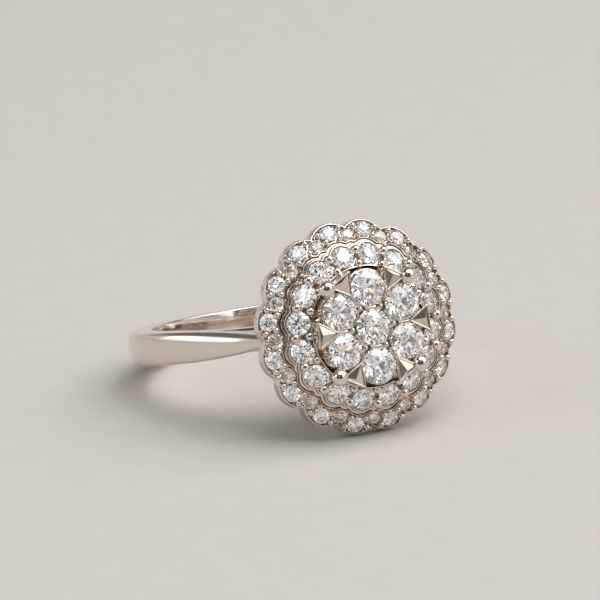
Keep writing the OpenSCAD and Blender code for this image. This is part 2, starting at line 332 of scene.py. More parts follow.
# Lights, by (name, azimuth, elevation, distance, (width, height), radiance, colour), in degrees and metres.
# The azimuth is counted to the right from the camera's side.
WHITE = (1.0, 1.0, 1.0)
WARM_WHITE = (1.0, 0.985, 0.965)
KEY = ("key_right", 96, 54, 0.9, (0.84, 0.80), 2.5, WARM_WHITE)
PANELS = (
    ("far_right", 100, 26, 0.72, (0.20, 0.26), 0.55, WARM_WHITE),
    ("left_low", -97, 7, 0.7, (0.40, 0.11), 0.84, WHITE),
    ("left_glow", -97, 6, 0.72, (0.48, 0.165), 0.22, WARM_WHITE),
    ("top", 60, 80, 0.8, (0.56, 0.56), 2.0, (1.0, 0.99, 0.98)),
    ("left", -66, 34, 0.6, (0.24, 0.30), 1.7, (0.97, 0.98, 1.0)),
    ("front_high", 0, 70, 0.7, (0.45, 0.14), 2.2, (1.0, 0.99, 0.97)),
    ("right", 61, 31, 0.72, (0.38, 0.38), 1.1, WARM_WHITE),
    ("spark", -8, 40, 0.7, (0.05, 0.10), 3.0, WHITE),
)
STONE_PANELS = (
    ("stones_1", -54, 18, 0.72, (0.20, 0.44), 0.77, (0.97, 0.98, 1.0)),
    ("stones_2", -28, 27, 0.72, (0.19, 0.54), 0.92, (0.96, 0.98, 1.0)),
    ("stones_3", 0, 33, 0.72, (0.18, 0.50), 0.85, WHITE),
    ("stones_4", 28, 26, 0.72, (0.20, 0.54), 0.92, (1.0, 0.98, 0.96)),
    ("stones_5", 10, 68, 0.72, (0.60, 0.18), 1.0, WHITE),
    ("warm_1", 16, 16, 0.68, (0.05, 0.12), 1.7, (1.0, 0.62, 0.3)),
    ("warm_2", -14, 46, 0.68, (0.10, 0.06), 1.7, (1.0, 0.66, 0.34)),
    ("warm_3", 48, 42, 0.68, (0.06, 0.10), 1.7, (1.0, 0.66, 0.34)),
    ("cool_1", -14, 16, 0.68, (0.05, 0.12), 1.6, (0.42, 0.62, 1.0)),
    ("cool_2", 34, 46, 0.68, (0.10, 0.06), 1.6, (0.42, 0.62, 1.0)),
    ("cool_3", -46, 34, 0.68, (0.06, 0.10), 1.6, (0.42, 0.62, 1.0)),
)
STONE_BOUNCES = 24
GLOSSY_BOUNCES = 16


# Plane geometry


def polar(r, degrees):
    """Point at a radius and an angle in the plane."""
    a = math.radians(degrees)
    return np.array([r * math.cos(a), r * math.sin(a)])


def turned(point, degrees):
    """Point turned about the middle."""
    c, s = math.cos(math.radians(degrees)), math.sin(math.radians(degrees))
    return np.array([c * point[0] - s * point[1], s * point[0] + c * point[1]])


def smooth_step(x):
    """Goes from 0 to 1 with level ends."""
    x = min(max(x, 0.0), 1.0)
    return x * x * (3 - 2 * x)


def oval(x, y, r, squash=1.0, count=MEDIUM):
    """Circle that is narrower along the line from the middle by a share."""
    a = np.linspace(0, TAU, count, endpoint=False)
    away = math.atan2(y, x)
    along, across = r * squash * np.cos(a), r * np.sin(a)
    c, s = math.cos(away), math.sin(away)
    return np.stack([x + c * along - s * across, y + s * along + c * across], 1)


def furthest(circles):
    """Outline of joined circles round the middle: in each direction, the furthest point of any of them."""
    a = np.linspace(0, TAU, FINE, endpoint=False)
    d = np.stack([np.cos(a), np.sin(a)], 1)
    reach = np.zeros(FINE)
    for x, y, r in circles:
        along = d @ np.array([x, y])
        inside = along ** 2 - (x * x + y * y - r * r)
        reach = np.maximum(reach, np.where(inside >= 0, along + np.sqrt(np.maximum(inside, 0)), 0))
    return d * reach[:, None]


def within(points, loop):
    """True for each point that lies inside a closed loop."""
    result = np.zeros(len(points), bool)
    for a, b in zip(loop, np.roll(loop, -1, axis=0)):
        if a[1] == b[1]:
            continue
        crosses = (a[1] > points[:, 1]) != (b[1] > points[:, 1])
        at = a[0] + (points[:, 1] - a[1]) * (b[0] - a[0]) / (b[1] - a[1])
        result ^= crosses & (points[:, 0] < at)
    return result


def outer_outline(inset):
    """Outline of the outer halo's scallops, moved in by an inset."""
    circles = [(0, 0, SCALLOP_RING_R)]
    for i in range(ROUND):
        circles.append((*polar(SCALLOP_RING_R, HALF + STEP * i), SCALLOP_R - inset))
    return furthest(circles)


def inner_outline(inset):
    """Outline round the inner halo's stones and outer beads, moved in by an inset."""
    circles = [(0, 0, INNER_RING_R)]
    for i in range(ROUND):
        circles.append((*polar(INNER_RING_R - LEAN_IN, HALF + STEP * i), INNER_D / 2 + INNER_RIM - inset))
        circles.append((*polar(BEAD_OUT_RING_R, STEP * i), BEAD_OUT_D / 2 + BEAD_RIM - inset))
    return furthest(circles)


def cluster_outline(inset):
    """Outline round the six outer cluster stones, moved in by an inset."""
    circles = [(0, 0, CLUSTER_RING_R - inset)]
    for i in range(CLUSTER_ROUND):
        circles.append((*polar(CLUSTER_RING_R, CLUSTER_STEP * i), CLUSTER_D / 2 + CLUSTER_RIM - inset))
    return furthest(circles)


# Slopes that the stones lie on


class Slope:
    """Cone whose surface passes through a height at a radius and falls off outwards at an angle."""

    def __init__(self, r, h, degrees):
        self.r, self.h, self.lean = r, h, math.radians(degrees)

    def z(self, p, rise):
        """Height, over a point of the plane, of the surface parallel to the cone that rises over it."""
        return self.h - (math.hypot(p[0], p[1]) - self.r) * math.tan(self.lean) + rise / math.cos(self.lean)

    def place(self, spot, rise):
        """Point above a place that is measured on the cone's surface, as if it were laid flat."""
        rho, a = math.hypot(*spot), math.atan2(spot[1], spot[0])
        along = rho - self.r
        r = self.r + along * math.cos(self.lean) + rise * math.sin(self.lean)
        z = self.h - along * math.sin(self.lean) + rise * math.cos(self.lean)
        return r * math.cos(a), r * math.sin(a), z

    def frame(self, x, y, z):
        """Frame at a place, turned outwards by the lean."""
        turn = Matrix.Rotation(math.atan2(y, x), 4, "Z") @ Matrix.Rotation(self.lean, 4, "Y")
        return Matrix.Translation((x, y, z)) @ turn


OUTER = Slope(OUTER_RING_R, OUTER_H, OUTER_LEAN)
INNER = Slope(INNER_RING_R, INNER_H, INNER_LEAN)
LEVEL = Slope(1.0, 0.0, 0.0)


def at_height(loop, z):
    """Loop laid level."""
    return [(p[0], p[1], z) for p in loop]


def on(slope, loop, rise):
    """Loop laid on a sloping surface."""
    return [(p[0], p[1], slope.z(p, rise)) for p in loop]


def stones_round(r, h, d, first):
    """Stones of one round, as (x, y, height of the girdle, diameter)."""
    return [(*polar(r, first + STEP * i), h, d) for i in range(ROUND)]


OUTER_STONES = stones_round(OUTER_RING_R, OUTER_H, OUTER_D, HALF)
OUTER_STONES += stones_round(BETWEEN_RING_R, BETWEEN_H, BETWEEN_D, 0)
INNER_STONES = stones_round(INNER_RING_R, INNER_H, INNER_D, HALF)


# Forms and pieces


class Form:
    """Points, in millimetres, and faces of one piece, gathered before its mesh is made."""

    def __init__(self):
        self.points = []
        self.faces = []

    def add(self, points, faces):
        base = len(self.points)
        self.points.extend(tuple(float(v) for v in p) for p in points)
        self.faces.extend(tuple(base + i for i in f) for f in faces)

    def add_placed(self, other, place):
        """Adds another form, moved into a frame."""
        self.add([place @ Vector(p) for p in other.points], other.faces)

    def add_turned(self, points, faces, degrees):
        """Adds points and faces, turned about the head's axis."""
        self.add([(*turned(p, degrees), p[2]) for p in points], faces)

    def loft(self, rows, closed=False, caps=True):
        """Skin through closed loops that all have the same number of points."""
        rows = [np.asarray(r, float) for r in rows]
        count = len(rows[0])
        faces = []
        spans = len(rows) if closed else len(rows) - 1
        for i in range(spans):
            k = (i + 1) % len(rows)
            for j in range(count):
                n = (j + 1) % count
                faces.append((i * count + j, i * count + n, k * count + n, k * count + j))
        if caps and not closed:
            faces.append(tuple(range(count - 1, -1, -1)))
            faces.append(tuple((len(rows) - 1) * count + j for j in range(count)))
        self.add(np.vstack(rows), faces)

    def lathe(self, profile, centre=(0, 0, 0), count=MEDIUM):
        """Turned shape round an axis along Z. A profile end at radius 0 closes in one point."""
        points = []
        rows = []
        for r, z in profile:
            if r < ON_AXIS:
                rows.append([len(points)] * count)
                points.append((centre[0], centre[1], centre[2] + z))
                continue
            rows.append([len(points) + j for j in range(count)])
            for j in range(count):
                a = TAU * j / count
                points.append((centre[0] + r * math.cos(a), centre[1] + r * math.sin(a), centre[2] + z))
        faces = []
        for low, high in zip(rows, rows[1:]):
            for j in range(count):
                n = (j + 1) % count
                quad = [low[j], low[n], high[n], high[j]]
                faces.append(tuple(dict.fromkeys(quad)))
        self.add(points, [f for f in faces if len(f) > 2])

    def bead(self, x, y, h, d, foot, stem, count):
        """Round bead at a height, on a stem that reaches down to its foot."""
        r = d / 2
        neck = math.asin(stem / r)
        profile = [(0, r)]
        for a in np.linspace(0, math.pi - neck, count // 2)[1:]:
            profile.append((r * math.sin(a), r * math.cos(a)))
        profile.append((stem, foot - h))
        profile.append((0, foot - h))
        self.lathe(profile, (x, y, h), count)

    def flat_ring(self, from_r, to_r, z):
        """Level ring between two radii."""
        self.loft([at_height(oval(0, 0, r, count=SMOOTH), z) for r in (from_r, to_r)], caps=False)

    def surface(self, loops, height):
        """Skin between closed loops, one outside and the others inside it, at a height for each place."""
        points = []
        edges = []
        for loop in loops:
            base = len(points)
            points += [Vector((float(p[0]), float(p[1]))) for p in loop]
            edges += [(base + i, base + (i + 1) % len(loop)) for i in range(len(loop))]
        reach = max(p.length for p in points)
        radii = np.arange(GRID_FROM_R, reach, GRID_STEP)
        grid = np.array([polar(r, a) for r in radii for a in np.arange(0, 360, GRID_TURN)])
        keep = np.zeros(len(grid), bool)
        for loop in loops:
            keep ^= within(grid, np.asarray(loop, float))
        points += [Vector((float(p[0]), float(p[1]))) for p in grid[keep]]
        out, _, faces, *_ = geometry.delaunay_2d_cdt(points, edges, [], 0, TRIANGLE_GAP)
        flat = np.array([tuple(p) for p in out])
        faces = np.array(faces)
        centres = flat[faces].mean(axis=1)
        inside = np.zeros(len(centres), bool)
        for loop in loops:
            inside ^= within(centres, np.asarray(loop, float))
        self.add([(x, y, height((x, y))) for x, y in flat], faces[inside])


def make(form, name, place=HEAD, sharp=HEAD_SHARP):
    """Turns a form into a piece of the ring, in metres, with smooth faces and sharp edges."""
    mesh = bpy.data.meshes.new(name)
    to_world = place @ Matrix.Scale(MM, 4)
    mesh.from_pydata([to_world @ Vector(p) for p in form.points], [], form.faces)
    work = bmesh.new()
    work.from_mesh(mesh)
    bmesh.ops.remove_doubles(work, verts=work.verts, dist=JOIN_WITHIN)
    bmesh.ops.dissolve_degenerate(work, edges=work.edges, dist=SHORTEST_EDGE)
    bmesh.ops.recalc_face_normals(work, faces=work.faces)
    limit = math.radians(sharp)
    for face in work.faces:
        face.smooth = True
    for edge in work.edges:
        edge.smooth = not (edge.is_manifold and edge.calc_face_angle(0) > limit)
    work.to_mesh(mesh)
    work.free()
    mesh.materials.append(GOLD)
    piece = bpy.data.objects.new(name, mesh)
    bpy.context.scene.collection.objects.link(piece)
    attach(piece, "root")
    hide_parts("ring_setting")


# Materials


class Shader:
    """New material, and the few kinds of node that its surface is made from."""

    def __init__(self, name):
        self.material = bpy.data.materials.new(name)
        self.material.use_nodes = True
        self.nodes = self.material.node_tree.nodes
        self.links = self.material.node_tree.links
        self.inputs = self.nodes["Principled BSDF"].inputs
        self.place = self.nodes.new("ShaderNodeTexCoord").outputs["Object"]

    def noise(self, scale, detail):
        """Noise in the object's own coordinates, so its scale is in waves per metre."""
        node = self.nodes.new("ShaderNodeTexNoise")
        node.inputs["Scale"].default_value = scale
        node.inputs["Detail"].default_value = detail
        self.links.new(self.place, node.inputs["Vector"])
        return node.outputs["Fac"]

    def roughness(self, noise, low, high):
        """Lets the polish vary with a noise."""
        node = self.nodes.new("ShaderNodeMapRange")
        node.inputs["To Min"].default_value = low
        node.inputs["To Max"].default_value = high
        self.links.new(noise, node.inputs["Value"])
        self.links.new(node.outputs["Result"], self.inputs["Roughness"])

    def colour(self, noise, low, high, spread=(0.0, 1.0)):
        """Lets the colour vary with a noise, between two values of it."""
        node = self.nodes.new("ShaderNodeValToRGB")
        for element, colour, position in zip(node.color_ramp.elements, (low, high), spread):
            element.position, element.color = position, colour
        self.links.new(noise, node.inputs["Fac"])
        self.links.new(node.outputs["Color"], self.inputs["Base Color"])

    def bump(self, noise, strength, height):
        """Lets the surface rise and fall with a noise."""
        node = self.nodes.new("ShaderNodeBump")
        node.inputs["Strength"].default_value = strength
        node.inputs["Distance"].default_value = height
        self.links.new(noise, node.inputs["Height"])
        self.links.new(node.outputs["Normal"], self.inputs["Normal"])


def white_gold():
    """Polished white gold: fine polishing marks in the roughness and a faint unevenness in the surface."""
    shader = Shader("white_gold")
    shader.inputs["Base Color"].default_value = (0.79, 0.727, 0.667, 1)
    shader.inputs["Metallic"].default_value = 1.0
    shader.roughness(shader.noise(scale=900, detail=6), low=0.05, high=0.11)
    shader.bump(shader.noise(scale=350, detail=3), strength=0.04, height=0.0001)
    return shader.material


def diamond():
    """Clear brilliant-cut stone, with a hardly visible unevenness in its tint and polish."""
    shader = Shader("diamond")
    cloud = shader.noise(scale=600, detail=2)
    shader.colour(cloud, low=(0.985, 0.98, 0.965, 1), high=(0.98, 0.99, 1.0, 1))
    shader.roughness(cloud, low=0.0, high=0.004)
    shader.inputs["IOR"].default_value = 2.417
    shader.inputs["Transmission Weight"].default_value = 1.0
    return shader.material


def paper():
    """Pale warm surface that the ring lies on, with a soft uneven grain."""
    shader = Shader("pale_floor")
    shader.inputs["Roughness"].default_value = 0.9
    grain = shader.noise(scale=480, detail=8)
    shader.colour(grain, low=(0.609, 0.581, 0.554, 1), high=(0.627, 0.599, 0.572, 1), spread=(0.3, 0.7))
    shader.bump(shader.noise(scale=2600, detail=4), strength=0.3, height=0.0001)
    return shader.material


GOLD = white_gold()
STONE = diamond()


# Band and shoulders


def section(inner, outer, half_w, dome, edge):
    """Section of the band, as (distance from the axis, place along the finger), all the way round it."""
    points = []
    slope = math.atan(2 * dome * (half_w - edge) / half_w ** 2)
    last = half_w - edge * (1 - math.sin(slope))
    for t in np.linspace(-1, 1, FACE_POINTS):
        z = last * t
        points.append((outer - dome * (z / half_w) ** 2, z))
    end_r = outer - dome * (last / half_w) ** 2
    for a in np.linspace(slope, math.pi / 2, EDGE_POINTS + 1)[1:]:
        r = end_r + edge * (math.cos(a) - math.cos(slope))
        points.append((r, last + edge * (math.sin(a) - math.sin(slope))))
    for a in np.linspace(0, math.pi / 2, EDGE_POINTS):
        r = inner + INNER_EDGE_ROUND * (1 - math.sin(a))
        points.append((r, half_w - INNER_EDGE_ROUND * (1 - math.cos(a))))
    mirrored = [(r, -z) for r, z in points[FACE_POINTS:]][::-1]
    return np.array(points + mirrored)


def arc_row(profile, centre, degrees):
    """Section placed across an arc round a centre, at an angle."""
    d = polar(1, degrees)
    return [(centre[0] + r * d[0], centre[1] + r * d[1], z) for r, z in profile]


def rail_half_width(x):
    """Half of the rail's width, which narrows towards the head."""
    k = smooth_step((x - NARROW_FROM) / (RAIL_NARROW - NARROW_FROM))
    return (BAND_W - (BAND_W - RAIL_HEAD_W) * k) / 2


def shank():
    """The whole ring round the finger. Under the shoulders it is the thinner, flatter rail."""
    form = Form()
    rows = []
    for degrees in np.arange(0, 360, BAND_TURN):
        from_head = min(degrees, 360 - degrees)
        k = smooth_step((from_head - RAIL_TO) / RAIL_BLEND)
        outer = RAIL_R + (BAND_R - RAIL_R) * k
        under = 1 - smooth_step((from_head - UNDER_TO) / UNDER_BLEND)
        half_w = rail_half_width(RAIL_R * math.cos(math.radians(degrees))) - UNDER_SHOULDER * under
        edge = RAIL_EDGE_ROUND + (EDGE_ROUND - RAIL_EDGE_ROUND) * k
        dome = RAIL_DOME + (BAND_DOME - RAIL_DOME) * k
        rows.append(arc_row(section(FINGER_R, outer, half_w, dome, edge), (0, 0), degrees))
    form.loft(rows, closed=True)
    return form


def shoulder_arc():
    """Centre and radius of a shoulder's outer face, which leaves the band smoothly and ends at the head."""
    tip = np.array(SHOULDER_TIP)
    lead = polar(1, SHOULDER_FROM)
    radius = (tip @ tip - 2 * BAND_R * (tip @ lead) + BAND_R ** 2) / (2 * (BAND_R - tip @ lead))
    return -(radius - BAND_R) * lead, radius, tip


def shoulders():
    """Two shoulders that leave the band and rise to the head, one on each side."""
    form = Form()
    centre, radius, tip = shoulder_arc()
    d = tip - centre
    last = math.degrees(math.atan2(d[1], d[0])) - SHOULDER_SHORT
    for side in (1, -1):
        rows = []
        for degrees in np.linspace(SHOULDER_FROM + SHOULDER_BLEND, last, SHOULDER_ROWS):
            x = centre[0] + radius * math.cos(math.radians(degrees))
            share = min(max(x, 0.0) / tip[0], 1.0)
            half_w = BAND_W / 2 + SHOULDER_PROUD - (BAND_W - SHOULDER_TIP_W) / 2 * share ** TAPER
            sink = SHOULDER_SINK * smooth_step((degrees - SHOULDER_FROM) / SHOULDER_BLEND)
            edge = min(EDGE_ROUND, SHOULDER_EDGE_SHARE * half_w)
            dome = BAND_DOME * (half_w / (BAND_W / 2))
            row = arc_row(section(radius - SHOULDER_T, radius - sink, half_w, dome, edge), centre, degrees)
            rows.append([(p[0], side * p[1], p[2]) for p in row])
        form.loft(rows)
    return form


# Head


def round_top(half):
    """Rows over the round top of a wall, as (angle, inset from its outside, drop under its highest line)."""
    for degrees in TOP_ANGLES:
        a = math.radians(degrees)
        yield degrees, half * (1 - math.cos(a)), half * (1 - math.sin(a))


def rim(form, outline, slope, low, width, rise):
    """Thin wall along an outline, with a round top that follows a slope. Its foot is level."""
    half = width / 2
    rows = [
        at_height(outline(RIM_BEVEL), low),
        at_height(outline(0), low + RIM_BEVEL),
        on(slope, outline(0), rise - half),
    ]
    for _, inset, drop in round_top(half):
        rows.append(on(slope, outline(inset), rise - drop))
    rows.append(on(slope, outline(width), rise - half))
    rows.append(on(slope, outline(width), -CHANNEL - OVERLAP))
    form.loft(rows, closed=True)


def plate(form, slope, outline, stones, opening, thickness):
    """Floor of a halo: a sloping slab with holes round the seats."""
    holes = [oval(x, y, d / 2 - STONE_HOLD, math.cos(slope.lean)) for x, y, h, d in stones]
    loops = [outline] + holes + [opening]
    form.surface(loops, lambda p: slope.z(p, -CHANNEL))
    for loop in loops:
        form.loft([on(slope, loop, -CHANNEL - thickness), on(slope, loop, -CHANNEL)], caps=False)


def opening_lip(form, slope, opening, low, rows):
    """Wall round a halo's opening, with a thin round lip."""
    form.loft([at_height(opening, low)] + [on(slope, opening * k, rise) for k, rise in rows], caps=False)


def collar(form, slope, x, y, h, d, depth):
    """Cup that holds a stone by its lower facets, with a hole behind the stone's point."""
    top = -GIRDLE * d - SEAT_GAP
    r = d / 2 + SEAT_GAP
    hole_r = SEAT_HOLE * d
    outside = d / 2 - COLLAR_INSET
    edge = outside - COLLAR_W
    shelf = top - (r - edge) * 2 * PAVILION
    cup = Form()
    cup.lathe([
        (edge, shelf),
        (outside - COLLAR_CROWN_AT, shelf + COLLAR_CROWN),
        (outside, shelf - COLLAR_EDGE_DROP),
        (outside, -depth),
        (hole_r, -depth),
        (hole_r, top - (r - hole_r) * 2 * PAVILION),
        (edge, shelf),
    ])
    form.add_placed(cup, slope.frame(x, y, h))


def halo_collars(form, slope, stones):
    """Collars that stop just short of the head's back."""
    for x, y, h, d in stones:
        collar(form, slope, x, y, h, d, way_out(slope, x, y, h)[2] - COLLAR_SHORT)


def back_height(p):
    """Height of the head's hollow back."""
    r = math.hypot(p[0], p[1])
    rim_r = SCALLOP_RING_R + SCALLOP_R
    return min(OUTER_BACK + (rim_r - r) * math.tan(math.radians(BACK_SLOPE)), BACK_H)


def way_out(slope, x, y, h):
    """Place at which a stone's axis leaves the head's back, and how deep that is."""
    r = math.hypot(x, y)
    at, depth = r, 0.0
    while h - depth * math.cos(slope.lean) > back_height((at, 0)):
        depth += DEPTH_STEP
        at = r - depth * math.sin(slope.lean)
    return x * at / r, y * at / r, depth


def outer_halo():
    """Wide outer halo with its scalloped rim, and the groove's floor inside it."""
    form = Form()
    rim(form, outer_outline, OUTER, OUTER_BACK, RIM_W, LIP)
    opening = inner_outline(-HALO_GAP)
    plate(form, OUTER, outer_outline(RIM_W / 2), OUTER_STONES, opening, OUTER_FLOOR_T)
    opening_lip(form, OUTER, opening, GROOVE_FLOOR - OVERLAP, OUTER_LIP)
    halo_collars(form, OUTER, OUTER_STONES)
    form.flat_ring(GROOVE_FROM_R, GROOVE_TO_R, GROOVE_FLOOR)
    return form


def inner_halo():
    """Raised halo, with a lower step round the outside of its wall."""
    form = Form()
    low = GROOVE_FLOOR - OVERLAP
    rim(form, inner_outline, INNER, low, RIM_W, LIP)
    rim(form, lambda s: inner_outline(s - LEDGE_W), INNER, low, LEDGE_W + LEDGE_INTO, -LEDGE_DROP)
    moat = oval(0, 0, MOAT_R, count=SMOOTH)
    plate(form, INNER, inner_outline(RIM_W / 2), INNER_STONES, moat, INNER_FLOOR_T)
    opening_lip(form, INNER, moat, MOAT_FLOOR - OVERLAP, INNER_LIP)
    halo_collars(form, INNER, INNER_STONES)
    return form


def head_back():
    """Hollow back of the head, with a round hole behind each halo stone, and the moat's floor."""
    form = Form()
    loops = [outer_outline(BACK_INSET)]
    for slope, stones in ((OUTER, OUTER_STONES), (INNER, INNER_STONES)):
        for x, y, h, d in stones:
            ox, oy, _ = way_out(slope, x, y, h)
            loops.append(oval(ox, oy, SEAT_HOLE * d, 1 / math.cos(slope.lean), COARSE))
    cup = oval(0, 0, CUP_R, count=SMOOTH)
    form.surface(loops + [cup], back_height)
    for loop in loops[1:]:
        form.loft([[(p[0], p[1], back_height(p) + up) for p in loop] for up in (0, SEAT_WALL)], caps=False)
    form.loft([at_height(cup, BACK_H), at_height(cup, CUP_TOP)], caps=False)
    form.flat_ring(CUP_R, MOAT_FLOOR_R, MOAT_FLOOR)
    return form


def ridge(form, middle, across):
    """Thin bar with a round top between two cluster stones."""
    across = across / np.linalg.norm(across)
    along = np.array([-across[1], across[0]])
    rows = []
    for t in np.linspace(-1, 1, FACE_POINTS):
        half = RIDGE_HALF_W + RIDGE_FLARE * t * t
        top = CLUSTER_H + RIDGE_RISE - RIDGE_SAG * t ** 4
        centre = middle + along * (RIDGE_L / 2) * t
        row = [(*(centre - across * half), RIDGE_FOOT)]
        for a in np.radians((180, *reversed(TOP_ANGLES), 0)):
            row.append((*(centre + across * half * math.cos(a)), top - half * (1 - math.sin(a))))
        row.append((*(centre + across * half), RIDGE_FOOT))
        rows.append(row)
    form.loft(rows)


def cluster_seat():
    """Seat of the seven cluster stones, with a ridge between neighbours and a prong where three meet."""
    form = Form()
    skirt = oval(0, 0, SKIRT_R, count=FINE)
    rows = [at_height(skirt, MOAT_FLOOR), at_height(skirt, SKIRT_H)]
    rows += [at_height(cluster_outline(inset), CLUSTER_H + rise) for inset, rise in CLUSTER_WALL]
    rows.append(at_height(cluster_outline(CLUSTER_WALL_T), CLUSTER_FLOOR - OVERLAP))
    form.loft(rows, caps=False)
    spots = [np.zeros(2)] + [polar(CLUSTER_RING_R, CLUSTER_STEP * i) for i in range(CLUSTER_ROUND)]
    holes = [oval(x, y, CLUSTER_D / 2 - CLUSTER_HOLD) for x, y in spots]
    form.surface([cluster_outline(CLUSTER_FLOOR_INSET)] + holes, lambda p: CLUSTER_FLOOR)
    backs = [oval(x, y, SEAT_HOLE * CLUSTER_D, count=COARSE) for x, y in spots]
    form.surface([cluster_outline(0)] + backs, lambda p: CUP_TOP)
    for x, y in spots:
        collar(form, LEVEL, x, y, CLUSTER_H, CLUSTER_D, CLUSTER_H - CUP_TOP)
    spokes = [(0, i) for i in range(1, CLUSTER_ROUND + 1)]
    neighbours = [(i, i % CLUSTER_ROUND + 1) for i in range(1, CLUSTER_ROUND + 1)]
    for i, k in spokes + neighbours:
        ridge(form, (spots[i] + spots[k]) / 2, spots[k] - spots[i])
    for i in range(CLUSTER_ROUND):
        x, y = polar(CLUSTER_RING_R / math.sqrt(3), CLUSTER_STEP / 2 + CLUSTER_STEP * i)
        form.bead(x, y, PRONG_H, PRONG_D, CLUSTER_FLOOR - OVERLAP, PRONG_STEM, PRONG_POINTS)
    return form


def vee_corners(inset):
    """Corners of a V-shaped claw, which narrows towards the middle of the head, moved in by an inset."""
    length = VEE_END_R - VEE_TIP_R
    side = math.hypot(length, VEE_W / 2)
    inradius = length * VEE_W / (2 * side + VEE_W)
    centre = np.array([VEE_END_R - inradius, 0])
    corners = np.array([(VEE_TIP_R, 0), (VEE_END_R, -VEE_W / 2), (VEE_END_R, VEE_W / 2)])
    return [centre + (1 - inset / inradius) * (p - centre) for p in corners]


def rounded_vee(inset, z, corner=VEE_CORNER):
    """Loop round a V-shaped claw, with rounded corners."""
    slant = math.degrees(math.atan2(VEE_END_R - VEE_TIP_R, VEE_W / 2))
    lower = slant - 180
    turns = ((-lower, 360 + lower), (lower, 0), (0, -lower))
    loop = []
    for q, (from_turn, to_turn) in zip(vee_corners(inset + corner), turns):
        for degrees in np.linspace(from_turn, to_turn, CORNER_POINTS):
            a = math.radians(degrees)
            loop.append((q[0] + corner * math.cos(a), q[1] + corner * math.sin(a), z))
    return loop


def six_claws(points, faces):
    """Form with one V-shaped claw's points and faces repeated between the outer cluster stones."""
    form = Form()
    for i in range(CLUSTER_ROUND):
        form.add_turned(points, faces, CLUSTER_STEP / 2 + CLUSTER_STEP * i)
    return form


def vee_claws():
    """Bodies of the V-shaped claws, each with a thin round edge round its top."""
    claw = Form()
    half = VEE_EDGE_W / 2
    rows = [rounded_vee(0, CUP_TOP), rounded_vee(0, VEE_EDGE_TOP - half)]
    for degrees, inset, drop in round_top(half):
        rows.append(rounded_vee(inset, VEE_EDGE_TOP - drop, VEE_CORNER - VEE_CORNER_LESS * degrees / 180))
    rows.append(rounded_vee(VEE_EDGE_W, VEE_EDGE_TOP - half, VEE_INNER_CORNER))
    foot = VEE_EDGE_TOP - VEE_EDGE_DROP
    rows.append(rounded_vee(VEE_EDGE_W + VEE_EDGE_BATTER, foot, VEE_INNER_CORNER))
    claw.loft(rows)
    return six_claws(claw.points, claw.faces)


def vee_facets():
    """Three-sided peaks inside the edges of the V-shaped claws."""
    corners = vee_corners(FACET_INSET)
    points = [(*c, FACET_FOOT) for c in corners]
    points += [(*c, FACET_RIM_H) for c in corners]
    points.append(FACET_PEAK)
    faces = [(0, 1, 2), (0, 3, 4, 1), (1, 4, 5, 2), (2, 5, 3, 0), (3, 6, 4), (4, 6, 5), (5, 6, 3)]
    return six_claws(points, faces)


def ball_claws():
    """Four large ball claws, one in each quarter."""
    form = Form()
    for a in range(45, 360, 90):
        form.bead(*polar(BALL_RING_R, a), BALL_H, BALL_D, BALL_FOOT, BALL_STEM, BALL_POINTS)
    return form


def inner_beads():
    """Beads in pairs between the inner stones. Where a ball claw stands, there is only the outer one."""
    form = Form()
    for i in range(ROUND):
        x, y = polar(BEAD_OUT_RING_R, STEP * i)
        form.bead(x, y, BEAD_OUT_H, BEAD_OUT_D, BEAD_OUT_FOOT, BEAD_OUT_STEM, BEAD_POINTS)
        if i % 4 != 2:
            x, y = polar(BEAD_IN_RING_R, STEP * i)
            form.bead(x, y, BEAD_IN_H, BEAD_IN_D, BEAD_IN_FOOT, BEAD_IN_STEM, BEAD_POINTS)
    return form


def bead_spot(side, out):
    """Place of a small bead beside the gap between a larger outer stone on the X axis and the next one."""
    large = np.array([OUTER_RING_R, 0.0])
    small = polar(BETWEEN_RING_R, side * HALF)
    gap = np.linalg.norm(small - large)
    along = (small - large) / gap
    middle = large + along * (OUTER_D / 2 + gap - BETWEEN_D / 2) / 2
    return middle + out * BEAD_SMALL_OFF * side * np.array([along[1], -along[0]])


def halo_bead(form, spot, rise, d, count):
    """Bead on a stem that stands square to the outer halo's slope."""
    one = Form()
    one.bead(0, 0, 0, d, -CHANNEL - OVERLAP, STEM_SHARE * d, count)
    form.add_placed(one, OUTER.frame(*OUTER.place(spot, rise)))


def outer_beads():
    """Four small beads and four grains round each larger outer stone."""
    form = Form()
    for i in range(ROUND):
        at = HALF + STEP * i
        for side in (-1, 1):
            for out in (-1, 1):
                spot = turned(bead_spot(side, out), at)
                halo_bead(form, spot, BEAD_SMALL_RISE, BEAD_SMALL_D, SMALL_BEAD_POINTS)
            for angle, away in GRAINS:
                spot = polar(OUTER_RING_R + away, at + side * angle)
                halo_bead(form, spot, GRAIN_RISE, GRAIN_D, GRAIN_POINTS)
    return form


def posts():
    """Four gallery posts with a slight waist."""
    form = Form()
    for sx in (-1, 1):
        for sy in (-1, 1):
            foot = np.array([sx * POST_FOOT[0], sy * POST_FOOT[1], POST_FOOT[2]])
            top = np.array([sx * POST_TOP[0], sy * POST_TOP[1], POST_TOP[2]])
            along = (top - foot) / np.linalg.norm(top - foot)
            u = np.cross(along, (0, 0, 1))
            u /= np.linalg.norm(u)
            v = np.cross(along, u)
            rows = []
            for t in np.linspace(0, 1, POST_ROWS):
                r = POST_R * (1 - POST_WAIST * math.sin(math.pi * t))
                middle = foot + (top - foot) * t
                turns = np.linspace(0, TAU, COARSE, endpoint=False)
                rows.append([middle + r * (math.cos(a) * u + math.sin(a) * v) for a in turns])
            form.loft(rows)
    return form


